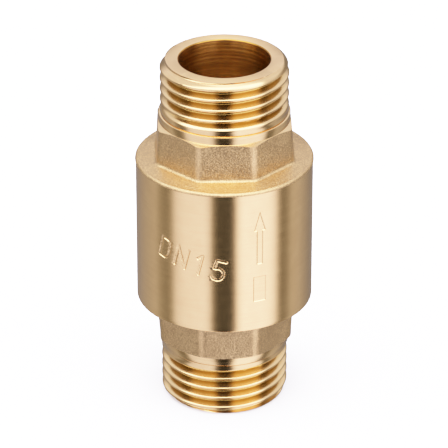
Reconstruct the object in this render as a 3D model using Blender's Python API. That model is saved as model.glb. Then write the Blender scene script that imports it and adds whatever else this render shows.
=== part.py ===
"""Inline spring check valve, male pipe thread at both ends, closed at rest.

Run with: blender --background --python part.py
Metres, +Z up along the flow. The origin is the centre of the inlet end face, on which the valve stands.
"""

import math

import bmesh
import bpy

MM = 0.001

# ---- Driving dimensions ----------------------------------------------------

LENGTH = 60.5 * MM
BARREL_LOW = 18.1 * MM  # the barrel's lower rim
BARREL_HIGH = 43.35 * MM  # the top of its upper shoulder's rounded edge
BARREL_R = 14.5 * MM
SHOULDER_R = 14.6 * MM  # the shoulder's rim, left as forged, stands a little proud of the turned wall
SHOULDER_EDGE = 0.5 * MM
SHOULDER_STEP = 0.1 * MM
EDGE = 0.2 * MM  # edge break on turned corners

# G 1/2 pipe thread, parallel
PIPE_R = 10.4775 * MM
PIPE_PITCH = 1.8143 * MM
PIPE_DEPTH = 1.16 * MM
PIPE_END_R = 9.5 * MM  # where the 45 degree lead chamfer meets the end face
BORE_R = 7.4 * MM

# Octagonal spanner necks, forged with a draft
NECK_APOTHEM = 11.1 * MM  # at the root of the neck
NECK_DRAFT = 0.05
NECK_CORNER_R = 2.0 * MM
NECK_FILLET = 0.55 * MM
SHOULDER_RISE = 0.45 * MM  # how far the shoulder climbs from its edge to the fillet
OUTLET_NECK = 6.8 * MM  # barrel's face to the end of the flats
INLET_NECK = 7.1 * MM
NECK_CONE = 0.5  # height over radius of the turned cone that cuts the flats' corners
BAND_R = 10.75 * MM  # plain turned band between the flats and the thread
BAND = 1.3 * MM
RELIEF = 0.2 * MM  # step from the band down to the thread
RUN_OUT = 1.7 * MM  # over which the last groove fades
CAP_TURN = math.radians(2.2)  # how far past the body's flats the cap was screwed home

# Assembly thread between body and cap, and the joint's register
JOINT_R = 12.4 * MM
JOINT_PITCH = 1.5 * MM
JOINT_DEPTH = 0.8 * MM
JOINT_GAP = 0.2 * MM
FLANGE_R = 12.6 * MM
FLANGE_THICK = 0.9 * MM
REGISTER_R = 12.9 * MM
REGISTER_DEPTH = 1.2 * MM
JOINT_LOW = 19.9 * MM
JOINT_HIGH = 24.2 * MM

# Inside
CHAMBER_R = 12.1 * MM
CHAMBER_HIGH = 40.0 * MM
SPIGOT_R = 11.85 * MM
SPIGOT_HIGH = 27.6 * MM
SEAT_R = 8.0 * MM
SEAT_WIDTH = 0.6 * MM
SEAT_HIGH = 28.4 * MM
O_RING_GROOVE_R = 10.4 * MM
O_RING_SECTION_R = 0.75 * MM
O_RING_Z = 26.1 * MM
GAP = 0.15 * MM  # between pieces that rest on or fit in each other
RUNNING = 0.1 * MM  # radial clearance of the stem in its bushes

STEM_R = 2.0 * MM
STEM_LOW = 13.2 * MM
STEM_HIGH = 48.6 * MM
LIFT = 4.4 * MM  # full travel, up to where the stem's collar stops on the outlet guide

OUTLET_POCKET_R = 8.6 * MM  # pocket for the outlet guide, open to the chamber
OUTLET_POCKET_HIGH = 45.0 * MM
INLET_POCKET_LOW = 15.7 * MM
SNAP_WIRE_R = 0.5 * MM
SNAP_GROOVE = 0.6 * MM  # how deep the snap ring's groove is cut
SNAP_OPENING = math.radians(36)

HUB_R = 4.0 * MM
BUSH_R = 2.9 * MM
RIB_WIDTH = 1.5 * MM
RIB_COUNT = 3

SPRING_WIRE_R = 0.3 * MM
SPRING_R = 5.3 * MM
SPRING_TURNS = 5

# ---- Mesh resolution -------------------------------------------------------

COLUMNS = 48  # round the body, six to each flat of the necks
FINE = 24
SMALL = 24


# ---- Materials -------------------------------------------------------------

FINISHES = {
    "machined_brass": ((0.80, 0.60, 0.34), 0.25, 1.0),
    "stainless": ((0.62, 0.61, 0.59), 0.28, 1.0),
    "nitrile_rubber": ((0.02, 0.02, 0.022), 0.6, 0.0),
    "ptfe": ((0.82, 0.82, 0.78), 0.45, 0.0),
}


def material(name):
    found = bpy.data.materials.get(name)
    if found:
        return found
    made = bpy.data.materials.new(name)
    made.use_nodes = True
    shader = made.node_tree.nodes["Principled BSDF"]
    colour, roughness, metallic = FINISHES[name]
    shader.inputs["Base Color"].default_value = (*colour, 1.0)
    shader.inputs["Roughness"].default_value = roughness
    shader.inputs["Metallic"].default_value = metallic
    return made


# ---- Mesh building ---------------------------------------------------------


def finish(name, mesh_maker, finish_name, parent=None):
    """Turns the bmesh into a named, smooth-shaded object with its faces pointing out."""
    bmesh.ops.remove_doubles(mesh_maker, verts=mesh_maker.verts, dist=1e-7)
    bmesh.ops.recalc_face_normals(mesh_maker, faces=mesh_maker.faces)
    mesh = bpy.data.meshes.new(name)
    mesh_maker.to_mesh(mesh)
    mesh_maker.free()
    mesh.materials.append(material(finish_name))
    mesh.shade_smooth()
    mesh.set_sharp_from_angle(angle=math.radians(30))
    made = bpy.data.objects.new(name, mesh)
    bpy.context.scene.collection.objects.link(made)
    made.parent = parent
    return made


def helper(made):
    """Marks an object that only cuts or joins another."""
    made.hide_render = True
    made.display_type = "WIRE"
    return made


def polar(radius, angle, z):
    return (radius * math.cos(angle), radius * math.sin(angle), z)


def ring(mesh_maker, radius, z, columns):
    """A closed ring of vertices. The radius is a number or a function of the angle."""
    made = []
    for column in range(columns):
        angle = math.tau * column / columns
        here = radius(angle) if callable(radius) else radius
        made.append(mesh_maker.verts.new(polar(here, angle, z)))
    return made


def skin(mesh_maker, rings):
    """Faces between each ring and the next."""
    for low, high in zip(rings, rings[1:]):
        count = len(low)
        for i in range(count):
            j = (i + 1) % count
            mesh_maker.faces.new((low[i], low[j], high[j], high[i]))


def turned(name, profile, finish_name, columns=FINE, parent=None):
    """A ring-shaped solid from a closed (radius, z) profile spun round the Z axis."""
    mesh_maker = bmesh.new()
    points = [mesh_maker.verts.new((radius, 0.0, z)) for radius, z in profile]
    edges = [mesh_maker.edges.new(pair) for pair in zip(points, [*points[1:], points[0]])]
    spin(mesh_maker, points + edges, columns)
    return finish(name, mesh_maker, finish_name, parent)


def rod(name, profile, finish_name, columns=SMALL, parent=None):
    """A solid turned piece from an open (radius, z) profile that starts and ends on the Z axis."""
    mesh_maker = bmesh.new()
    ends = [(0.0, profile[0][1]), *profile, (0.0, profile[-1][1])]
    points = [mesh_maker.verts.new((radius, 0.0, z)) for radius, z in ends]
    edges = [mesh_maker.edges.new(pair) for pair in zip(points, points[1:])]
    spin(mesh_maker, points + edges, columns)
    return finish(name, mesh_maker, finish_name, parent)


def spin(mesh_maker, outline, columns):
    bmesh.ops.spin(
        mesh_maker,
        geom=outline,
        cent=(0, 0, 0),
        axis=(0, 0, 1),
        angle=math.tau,
        steps=columns,
        use_merge=True,
    )


def coil(name, path, section, finish_name, parent=None):
    """A solid swept round the Z axis: path holds (angle, z), section holds (radius, z offset)."""
    mesh_maker = bmesh.new()
    rings = []
    for angle, z in path:
        rings.append([mesh_maker.verts.new(polar(r, angle, z + up)) for r, up in section])
    skin(mesh_maker, rings)
    mesh_maker.faces.new(rings[0])
    mesh_maker.faces.new(rings[-1])
    return finish(name, mesh_maker, finish_name, parent)


def round_section(centre_r, wire_r, sides):
    angles = [math.tau * side / sides for side in range(sides)]
    return [(centre_r + wire_r * math.cos(a), wire_r * math.sin(a)) for a in angles]


def polygon_radius(angle, apothem, corner_r, sides=8):
    """Polar radius of a regular polygon with rounded corners, one flat facing angle zero."""
    half = math.pi / sides
    off_flat = abs((angle + half) % (2 * half) - half)
    centre = (apothem - corner_r) / math.cos(half)
    if off_flat <= math.atan2(centre * math.sin(half), apothem):
        return apothem / math.cos(off_flat)
    off_corner = half - off_flat
    across = centre * math.sin(off_corner)
    return centre * math.cos(off_corner) + math.sqrt(corner_r**2 - across**2)


# ---- Threads ---------------------------------------------------------------

# Thread forms as (share of the pitch, share of the depth)
PIPE_FORM = ((0.0, 0.0), (0.17, 0.0), (0.5, 1.0), (0.67, 1.0))
JOINT_FORM = ((0.0, 0.0), (0.32, 0.0), (0.66, 1.0))


def thread(mesh_maker, low, high, pitch, form, wall, depth_at):
    """A right-hand thread as a wall between two heights, ending in a plain ring at each.

    wall(z) is the radius before the groove is cut, and depth_at(z) is the groove's full depth there.
    Rows follow the helix, counted from z = 0 at angle zero, and are held at low and high.
    """
    first = math.floor(low / pitch) - 1
    last = math.ceil(high / pitch) + 1
    columns = []
    for step in range(COLUMNS + 1):
        column = []
        for turn in range(first, last):
            for share, depth in form:
                z = pitch * (turn + share + step / COLUMNS)
                held = min(max(z, low), high)
                groove = depth * depth_at(z) if low < z < high else 0.0
                radius = min(wall(held), wall(low + (high - low) / 2) - groove)
                column.append(mesh_maker.verts.new(polar(radius, math.tau * step / COLUMNS, held)))
        columns.append(column)
    for here, there in zip(columns, columns[1:]):
        for row in range(len(here) - 1):
            mesh_maker.faces.new((here[row], there[row], there[row + 1], here[row + 1]))
    bmesh.ops.remove_doubles(mesh_maker, verts=mesh_maker.verts, dist=1e-7)


def pipe_end(mesh_maker, face_z, root_z, neck):
    """The outside of one end: shoulder fillet, octagonal neck, turned band and pipe thread.

    face_z is the end face, root_z the barrel's face, and neck the distance from it to the turned band.
    Returns the ring at the foot of the fillet. The far end is a plain ring at the end face.
    """
    up = 1 if face_z > root_z else -1

    def forged(height, offset=0.0):
        apothem = NECK_APOTHEM - NECK_DRAFT * max(height - SHOULDER_RISE - NECK_FILLET, 0.0)
        turned_r = BAND_R + (neck - height) / NECK_CONE
        return lambda angle: min(
            polygon_radius(angle, apothem, NECK_CORNER_R) + offset, turned_r + offset
        )

    rings = []
    for step in range(4):
        bend = math.radians(30) * step
        height = SHOULDER_RISE + NECK_FILLET * (1 - math.cos(bend))
        offset = NECK_FILLET * (1 - math.sin(bend))
        rings.append(ring(mesh_maker, forged(height, offset), root_z + up * height, COLUMNS))
    for back in (0.6, 0.45, 0.3, 0.15):
        height = neck - back * MM
        rings.append(ring(mesh_maker, forged(height), root_z + up * height, COLUMNS))
    thread_root = root_z + up * (neck + BAND + RELIEF)
    for height in (neck, neck + BAND):
        rings.append(ring(mesh_maker, BAND_R, root_z + up * height, COLUMNS))
    rings.append(ring(mesh_maker, PIPE_R, thread_root, COLUMNS))
    skin(mesh_maker, rings)

    def wall(z):
        return min(PIPE_R, PIPE_END_R + abs(face_z - z))

    def depth_at(z):
        return PIPE_DEPTH * min(1.0, abs(z - thread_root) / RUN_OUT) ** 2

    low, high = sorted((face_z, thread_root))
    thread(mesh_maker, low, high, PIPE_PITCH, PIPE_FORM, wall, depth_at)
    return rings[0]


def joint_thread(mesh_maker, low, high, radius):
    thread(mesh_maker, low, high, JOINT_PITCH, JOINT_FORM, lambda z: radius, lambda z: JOINT_DEPTH)


def wall_rings(mesh_maker, profile):
    """A plain turned stretch of wall through (radius, z) points."""
    rings = [ring(mesh_maker, radius, z, COLUMNS) for radius, z in profile]
    skin(mesh_maker, rings)
    return rings


# ---- Housing ---------------------------------------------------------------


def snap_groove(pocket_r, z):
    """The four (radius, z) corners of a snap ring's groove, from below to above."""
    half = SNAP_WIRE_R + 0.05 * MM
    deep = pocket_r + SNAP_GROOVE
    return [(pocket_r, z - half), (deep, z - half), (deep, z + half), (pocket_r, z + half)]


OUTLET_SNAP_Z = 41.45 * MM
INLET_SNAP_Z = 19.5 * MM


def make_outlet_body(parent):
    """Barrel, outlet neck and outlet thread in one forging, bored from below."""
    mesh_maker = bmesh.new()
    neck_root = pipe_end(mesh_maker, LENGTH, BARREL_HIGH, OUTLET_NECK)
    shoulder_edge = [
        (
            SHOULDER_R - SHOULDER_EDGE * (1 - math.cos(bend)),
            BARREL_HIGH - SHOULDER_EDGE * (1 - math.sin(bend)),
        )
        for bend in (0.0, math.radians(30), math.radians(60), math.radians(90))
    ]
    outside = wall_rings(
        mesh_maker,
        [
            (REGISTER_R, BARREL_LOW),
            (BARREL_R - EDGE, BARREL_LOW),
            (BARREL_R, BARREL_LOW + EDGE),
            (BARREL_R, BARREL_HIGH - SHOULDER_EDGE - SHOULDER_STEP),
            *shoulder_edge,
        ],
    )
    skin(mesh_maker, [outside[-1], neck_root])
    joint_r = JOINT_R + JOINT_GAP
    wall_rings(
        mesh_maker,
        [
            (REGISTER_R, BARREL_LOW),
            (REGISTER_R, BARREL_LOW + REGISTER_DEPTH),
            (joint_r, BARREL_LOW + REGISTER_DEPTH + EDGE),
            (joint_r, JOINT_LOW),
        ],
    )
    joint_thread(mesh_maker, JOINT_LOW, JOINT_HIGH, joint_r)
    wall_rings(
        mesh_maker,
        [
            (joint_r, JOINT_HIGH),
            (CHAMBER_R, JOINT_HIGH + joint_r - CHAMBER_R),
            (CHAMBER_R, CHAMBER_HIGH),
            (OUTLET_POCKET_R, CHAMBER_HIGH),
            *snap_groove(OUTLET_POCKET_R, OUTLET_SNAP_Z),
            (OUTLET_POCKET_R, OUTLET_POCKET_HIGH),
            (BORE_R, OUTLET_POCKET_HIGH),
            (BORE_R, LENGTH - EDGE),
            (BORE_R + EDGE, LENGTH),
            (PIPE_END_R, LENGTH),
        ],
    )
    return finish("outlet_body", mesh_maker, "machined_brass", parent)


def make_inlet_cap(parent):
    """Inlet thread and neck, the screwed spigot that closes the barrel, and the valve seat."""
    mesh_maker = bmesh.new()
    neck_root = pipe_end(mesh_maker, 0.0, BARREL_LOW, INLET_NECK)
    flange_high = BARREL_LOW + FLANGE_THICK
    outside = wall_rings(
        mesh_maker,
        [
            (FLANGE_R, BARREL_LOW + EDGE),
            (FLANGE_R, flange_high),
            (JOINT_R - JOINT_DEPTH, flange_high + EDGE),
            (JOINT_R - JOINT_DEPTH, JOINT_LOW - EDGE),
            (JOINT_R, JOINT_LOW),
        ],
    )
    skin(mesh_maker, [neck_root, outside[0]])
    joint_thread(mesh_maker, JOINT_LOW, JOINT_HIGH, JOINT_R)
    groove_half = O_RING_SECTION_R + GAP
    wall_rings(
        mesh_maker,
        [
            (JOINT_R, JOINT_HIGH),
            (SPIGOT_R, JOINT_HIGH + GAP),
            (SPIGOT_R, O_RING_Z - groove_half),
            (O_RING_GROOVE_R, O_RING_Z - groove_half),
            (O_RING_GROOVE_R, O_RING_Z + groove_half),
            (SPIGOT_R, O_RING_Z + groove_half),
            (SPIGOT_R, SPIGOT_HIGH - EDGE),
            (SPIGOT_R - EDGE, SPIGOT_HIGH),
            (SEAT_R + SEAT_WIDTH + EDGE, SPIGOT_HIGH),
            (SEAT_R + SEAT_WIDTH, SEAT_HIGH),
            (SEAT_R, SEAT_HIGH),
            *reversed(snap_groove(SEAT_R, INLET_SNAP_Z)),
            (SEAT_R, INLET_POCKET_LOW),
            (BORE_R, INLET_POCKET_LOW),
            (BORE_R, EDGE),
            (BORE_R + EDGE, 0.0),
            (PIPE_END_R, 0.0),
        ],
    )
    made = finish("inlet_cap", mesh_maker, "machined_brass", parent)
    made.rotation_euler.z = CAP_TURN
    return made


def make_guide(name, parent, pocket_r, rim_low, rim_high, hub_low, hub_high):
    """A spider that guides the stem: a rim in its pocket, three ribs and a bored hub."""
    rim_r = pocket_r - GAP
    window_r = rim_r - 1.0 * MM
    rim = [(window_r, rim_low), (rim_r, rim_low), (rim_r, rim_high), (window_r, rim_high)]
    guide = turned(name, rim, "machined_brass", FINE, parent)

    bore = BUSH_R + GAP
    hub_edge = (HUB_R - EDGE, HUB_R)
    hub_profile = [
        (bore, hub_low),
        (hub_edge[0], hub_low),
        (hub_edge[1], hub_low + EDGE),
        (hub_edge[1], hub_high - EDGE),
        (hub_edge[0], hub_high),
        (bore, hub_high),
    ]
    hub = helper(turned(name + "_hub", hub_profile, "machined_brass", SMALL, parent))

    mesh_maker = bmesh.new()
    inner = (bore + HUB_R) / 2
    outer = (window_r + rim_r) / 2
    low, high = rim_low + EDGE, rim_high - EDGE
    for rib in range(RIB_COUNT):
        angle = math.tau * rib / RIB_COUNT + math.pi / 2
        along = (math.cos(angle), math.sin(angle))
        corners = []
        for z in (low, high):
            for reach, side in ((inner, -1), (outer, -1), (outer, 1), (inner, 1)):
                x = along[0] * reach - along[1] * side * RIB_WIDTH / 2
                y = along[1] * reach + along[0] * side * RIB_WIDTH / 2
                corners.append(mesh_maker.verts.new((x, y, z)))
        skin(mesh_maker, [corners[:4], corners[4:]])
        mesh_maker.faces.new(corners[:4])
        mesh_maker.faces.new(corners[4:])
    ribs = helper(finish(name + "_ribs", mesh_maker, "machined_brass", parent))

    for other in (hub, ribs):
        union = guide.modifiers.new(other.name, "BOOLEAN")
        union.operation = "UNION"
        union.object = other
    return guide


def make_bush(name, parent, hub_low, hub_high):
    low, high = hub_low + EDGE, hub_high - EDGE
    bore = STEM_R + RUNNING
    profile = [(bore, low), (BUSH_R, low), (BUSH_R, high), (bore, high)]
    return turned(name, profile, "ptfe", SMALL, parent)


def make_snap_ring(name, parent, groove_r, z):
    """Round spring wire bent into an open ring, sprung into its groove."""
    steps = 26
    span = math.tau - SNAP_OPENING
    start = -math.pi / 2 + SNAP_OPENING / 2
    path = [(start + span * step / steps, z) for step in range(steps + 1)]
    section = round_section(groove_r - GAP - SNAP_WIRE_R, SNAP_WIRE_R, 6)
    return coil(name, path, section, "stainless", parent)


OUTLET_HUB = (40.4 * MM, 46.8 * MM)
INLET_HUB = (14.6 * MM, 19.8 * MM)


def make_housing(parent):
    make_outlet_body(parent)
    make_inlet_cap(parent)

    o_ring_r = (O_RING_GROOVE_R + CHAMBER_R) / 2
    section = round_section(o_ring_r, O_RING_SECTION_R, 8)
    turned("body_o_ring", [(r, O_RING_Z + up) for r, up in section], "nitrile_rubber", FINE, parent)

    rim = (OUTLET_SNAP_Z + SNAP_WIRE_R + GAP, OUTLET_POCKET_HIGH - GAP)
    make_guide("outlet_guide", parent, OUTLET_POCKET_R, *rim, *OUTLET_HUB)
    make_bush("outlet_guide_bush", parent, *OUTLET_HUB)
    make_snap_ring("outlet_snap_ring", parent, OUTLET_POCKET_R + SNAP_GROOVE, OUTLET_SNAP_Z)

    rim = (INLET_POCKET_LOW + GAP, INLET_SNAP_Z - SNAP_WIRE_R - GAP)
    make_guide("inlet_guide", parent, SEAT_R, *rim, *INLET_HUB)
    make_bush("inlet_guide_bush", parent, *INLET_HUB)
    make_snap_ring("inlet_snap_ring", parent, SEAT_R + SNAP_GROOVE, INLET_SNAP_Z)


# ---- Spring ----------------------------------------------------------------

WASHER_INNER = 4.35 * MM
WASHER_OUTER = 6.5 * MM
WASHER_THICK = 0.45 * MM
FOOT_WASHER_LOW = 32.45 * MM
TOP_WASHER_HIGH = 42.1 * MM


def make_washer(name, low, parent):
    high = low + WASHER_THICK
    profile = [(WASHER_INNER, low), (WASHER_OUTER, low), (WASHER_OUTER, high), (WASHER_INNER, high)]
    return turned(name, profile, "stainless", SMALL, parent)


def spring_path(low, high, steps_a_turn=14):
    """(angle, z) along the wire's centre, with one closed turn at each end."""
    closed = 2.2 * SPRING_WIRE_R  # rise of a closed turn
    open_rise = (high - low - 2 * closed) / (SPRING_TURNS - 2)
    points = []
    for step in range(SPRING_TURNS * steps_a_turn + 1):
        turns = step / steps_a_turn
        first = min(turns, 1.0)
        last = max(turns - SPRING_TURNS + 1, 0.0)
        z = low + closed * (first + last) + open_rise * (turns - first - last)
        points.append((math.tau * turns, z))
    return points


def make_spring(housing, foot):
    make_washer("spring_top_washer", TOP_WASHER_HIGH - WASHER_THICK, housing)
    make_washer("spring_foot_washer", FOOT_WASHER_LOW, foot)
    low = FOOT_WASHER_LOW + WASHER_THICK + RUNNING + SPRING_WIRE_R
    high = TOP_WASHER_HIGH - WASHER_THICK - RUNNING - SPRING_WIRE_R
    section = round_section(SPRING_R, SPRING_WIRE_R, 6)
    coil("return_spring", spring_path(low, high), section, "stainless", housing)


# ---- Poppet ----------------------------------------------------------------

COLLAR_R = 3.3 * MM
COLLAR = (34.5 * MM, 35.9 * MM)  # the stop collar, which also clamps the disc
DISC_R = 10.1 * MM
DISC_LOW = 30.5 * MM
DISC_HIGH = 32.3 * MM
BOSS_R = 4.2 * MM
LIP_LOW = 29.4 * MM
LIP_WIDTH = 0.45 * MM
SEAL_R = 9.5 * MM
SEAL = (28.55 * MM, 30.35 * MM)
CLAMP_R = 6.8 * MM
CLAMP = (26.9 * MM, 28.4 * MM)
LOCK_WASHER_R = 3.6 * MM
LOCK_WASHER_Z = 26.3 * MM
LOCK_WASHER_HALF = 0.3 * MM
NUT_FLATS = 7.0 * MM
NUT = (22.9 * MM, 25.75 * MM)


def make_stem(parent):
    tip = 0.6 * MM
    undercut = 0.25 * MM
    low, high = COLLAR
    profile = [
        (STEM_R - tip, STEM_LOW),
        (STEM_R, STEM_LOW + tip),
        (STEM_R, low - undercut),
        (STEM_R - undercut / 2, low),
        (COLLAR_R - EDGE, low),
        (COLLAR_R, low + EDGE),
        (COLLAR_R, high - EDGE),
        (COLLAR_R - EDGE, high),
        (STEM_R, high),
        (STEM_R, STEM_HIGH - tip),
        (STEM_R - tip, STEM_HIGH),
    ]
    return rod("poppet_stem", profile, "stainless", SMALL, parent)


def make_disc(parent):
    """The seal carrier: a plate with a lip round the seal and a boss that centres the spring."""
    bore = STEM_R + GAP
    profile = [
        (bore, DISC_LOW),
        (DISC_R - LIP_WIDTH, DISC_LOW),
        (DISC_R - LIP_WIDTH, LIP_LOW),
        (DISC_R, LIP_LOW),
        (DISC_R, DISC_HIGH - 2 * EDGE),
        (DISC_R - 2 * EDGE, DISC_HIGH),
        (BOSS_R, DISC_HIGH),
        (BOSS_R, COLLAR[0] - GAP - EDGE),
        (BOSS_R - EDGE, COLLAR[0] - GAP),
        (bore, COLLAR[0] - GAP),
    ]
    return turned("poppet_disc", profile, "machined_brass", FINE, parent)


def make_seal(parent):
    low, high = SEAL
    bore = STEM_R + GAP
    profile = [
        (bore, low),
        (SEAL_R - EDGE, low),
        (SEAL_R, low + EDGE),
        (SEAL_R, high),
        (bore, high),
    ]
    return turned("seat_seal", profile, "nitrile_rubber", FINE, parent)


def make_clamp_plate(parent):
    low, high = CLAMP
    bore = STEM_R + GAP
    chamfer = 0.7 * MM
    profile = [
        (bore, low),
        (CLAMP_R - chamfer, low),
        (CLAMP_R, low + chamfer),
        (CLAMP_R, high),
        (bore, high),
    ]
    return turned("seal_clamp_plate", profile, "machined_brass", FINE, parent)


def make_lock_washer(parent):
    """A split washer whose cut ends stand a little apart."""
    steps = 20
    opening = math.radians(14)
    spread = 0.08 * MM
    path = []
    for step in range(steps + 1):
        share = step / steps
        angle = opening / 2 + (math.tau - opening) * share
        path.append((angle, LOCK_WASHER_Z + spread * (share - 0.5)))
    inner = STEM_R + GAP
    half = LOCK_WASHER_HALF
    section = [(inner, -half), (LOCK_WASHER_R, -half), (LOCK_WASHER_R, half), (inner, half)]
    return coil("clamp_lock_washer", path, section, "stainless", parent)


def make_nut(parent):
    """A hexagonal nut with both ends chamfered to a cone."""
    low, high = NUT
    flat = NUT_FLATS / 2
    rise = 0.35 * MM
    mesh_maker = bmesh.new()

    def side(angle):
        return polygon_radius(angle, flat, 0.2 * MM, sides=6)

    bore = STEM_R + GAP
    rings = [
        ring(mesh_maker, bore, low, SMALL),
        ring(mesh_maker, flat - EDGE, low, SMALL),
        ring(mesh_maker, side, low + rise, SMALL),
        ring(mesh_maker, side, high - rise, SMALL),
        ring(mesh_maker, flat - EDGE, high, SMALL),
        ring(mesh_maker, bore, high, SMALL),
    ]
    skin(mesh_maker, [*rings, rings[0]])
    return finish("clamp_nut", mesh_maker, "machined_brass", parent)


def make_poppet(parent):
    make_stem(parent)
    make_disc(parent)
    make_seal(parent)
    make_clamp_plate(parent)
    make_lock_washer(parent)
    make_nut(parent)


# ---- Assembly --------------------------------------------------------------


def axis_empty(name, parent=None):
    """An empty on the valve's axis, which a group of pieces hangs from."""
    made = bpy.data.objects.new(name, None)
    bpy.context.scene.collection.objects.link(made)
    made.parent = parent
    return made


def main():
    for old in list(bpy.data.objects):
        bpy.data.objects.remove(old)
    housing = axis_empty("housing_axis")
    foot = axis_empty("poppet_lift_axis", housing)
    poppet = axis_empty("poppet_spin_axis", foot)
    make_housing(housing)
    make_spring(housing, foot)
    make_poppet(poppet)


main()
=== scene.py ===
"""Inline spring check valve in brass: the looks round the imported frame. Metres, +Z up."""

import math

import bmesh
import bpy
import numpy as np
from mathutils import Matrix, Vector, noise
from mathutils.geometry import delaunay_2d_cdt


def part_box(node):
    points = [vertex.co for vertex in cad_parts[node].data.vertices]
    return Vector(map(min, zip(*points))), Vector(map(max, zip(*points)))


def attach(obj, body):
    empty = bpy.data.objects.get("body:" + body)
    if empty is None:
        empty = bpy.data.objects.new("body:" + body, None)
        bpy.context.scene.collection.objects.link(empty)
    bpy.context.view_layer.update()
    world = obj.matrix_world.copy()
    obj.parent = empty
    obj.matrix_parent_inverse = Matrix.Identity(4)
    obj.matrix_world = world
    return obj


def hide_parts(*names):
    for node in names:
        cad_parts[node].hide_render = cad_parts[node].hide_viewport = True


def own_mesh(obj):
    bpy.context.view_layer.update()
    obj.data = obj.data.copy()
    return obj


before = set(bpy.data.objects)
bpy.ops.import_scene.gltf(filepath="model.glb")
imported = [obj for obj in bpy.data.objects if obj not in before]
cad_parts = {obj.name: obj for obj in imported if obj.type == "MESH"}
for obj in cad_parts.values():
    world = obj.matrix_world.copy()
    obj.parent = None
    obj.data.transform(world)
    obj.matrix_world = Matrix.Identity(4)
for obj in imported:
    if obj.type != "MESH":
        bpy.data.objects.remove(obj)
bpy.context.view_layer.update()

MM = 0.001
TAU = math.tau

# ---- The frame's dimensions ------------------------------------------------

body_low, body_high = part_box("outlet_body")
LENGTH = body_high.z
BARREL_LOW = body_low.z
SHOULDER_R = body_high.x
BARREL_R = 14.5 * MM
BARREL_HIGH = 43.35 * MM
SHOULDER_EDGE = 0.5 * MM
SHOULDER_STEP = 0.1 * MM
EDGE = 0.2 * MM

PIPE_R = 10.4775 * MM
PIPE_PITCH = 1.8143 * MM
PIPE_DEPTH = 1.16 * MM
PIPE_END_R = 9.5 * MM
CHAMFER = 1.25 * MM
CHAMFER_ROUNDNESS = 1.45
BORE_R = 7.4 * MM

NECK_APOTHEM = 11.1 * MM
NECK_DRAFT = 0.05
NECK_CORNER_R = 2.0 * MM
NECK_FILLET = 0.55 * MM
SHOULDER_RISE = 0.45 * MM
OUTLET_NECK = 6.8 * MM
INLET_NECK = 7.1 * MM
NECK_CONE = 0.5
BAND_R = 10.75 * MM
BAND = 1.3 * MM
RELIEF = 0.2 * MM
UNDERCUT = 0.12 * MM
RUN_OUT = 1.7 * MM
CAP_TURN = math.radians(2.2)

JOINT_R = 12.4 * MM
JOINT_PITCH = 1.5 * MM
JOINT_DEPTH = 0.8 * MM
JOINT_GAP = 0.2 * MM
JOINT_LOW = 19.9 * MM
JOINT_HIGH = 24.2 * MM
FLANGE_R = 12.6 * MM
FLANGE_THICK = 0.9 * MM
REGISTER_R = 12.9 * MM
REGISTER_DEPTH = 1.2 * MM

CHAMBER_R = 12.1 * MM
CHAMBER_HIGH = 40.0 * MM
SPIGOT_R = 11.85 * MM
SPIGOT_HIGH = 27.6 * MM
SEAT_R = 8.0 * MM
SEAT_WIDTH = 0.6 * MM
SEAT_HIGH = 28.4 * MM
O_RING_GROOVE_R = 10.4 * MM
O_RING_SECTION_R = 0.75 * MM
O_RING_Z = 26.1 * MM
GAP = 0.15 * MM

OUTLET_POCKET_R = 8.6 * MM
OUTLET_POCKET_HIGH = 45.0 * MM
INLET_POCKET_LOW = 15.7 * MM
SNAP_WIRE_R = 0.5 * MM
SNAP_GROOVE = 0.6 * MM
OUTLET_SNAP_Z = 41.45 * MM
INLET_SNAP_Z = 19.5 * MM

# ---- Materials -------------------------------------------------------------


class Nodes:
    """A node tree, with short helpers for the nodes that it's made from."""

    def __init__(self, tree):
        self.tree = tree

    def give(self, node, inputs):
        """Sets a node's inputs, or links those whose value is another node's output."""
        for key, value in inputs:
            if isinstance(value, bpy.types.NodeSocket):
                self.tree.links.new(value, node.inputs[key])
            else:
                node.inputs[key].default_value = value

    def add(self, kind, inputs=(), **settings):
        made = self.tree.nodes.new(kind)
        for key, value in settings.items():
            setattr(made, key, value)
        self.give(made, inputs)
        return made

    def math(self, operation, first, second=0.0):
        return self.add("ShaderNodeMath", [(0, first), (1, second)], operation=operation).outputs["Value"]

    def vector(self, operation, *inputs):
        """A vector operation's outputs."""
        return self.add("ShaderNodeVectorMath", enumerate(inputs), operation=operation).outputs

    def turned(self, vector, angle):
        """The vector turned about the Z axis."""
        inputs = [("Vector", vector), ("Angle", angle)]
        return self.add("ShaderNodeVectorRotate", inputs, rotation_type="Z_AXIS").outputs["Vector"]

    def split(self, vector):
        return self.add("ShaderNodeSeparateXYZ", [("Vector", vector)]).outputs

    def remap(self, source, low, high, to_low=0.0, to_high=1.0):
        limits = zip(("From Min", "From Max", "To Min", "To Max"), (low, high, to_low, to_high))
        return self.add("ShaderNodeMapRange", [("Value", source), *limits]).outputs["Result"]

    def colours(self, source, *stops):
        """A colour ramp through (position, colour) stops."""
        node = self.add("ShaderNodeValToRGB", [("Fac", source)])
        elements = node.color_ramp.elements
        while len(elements) < len(stops):
            elements.new(0.5)
        for element, (position, colour) in zip(elements, stops):
            element.position = position
            element.color = (*colour, 1.0)
        return node.outputs["Color"]

    def mix(self, share, first, second):
        inputs = [("Factor", share), ("A", first), ("B", second)]
        return self.add("ShaderNodeMix", inputs, data_type="RGBA").outputs["Result"]


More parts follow.
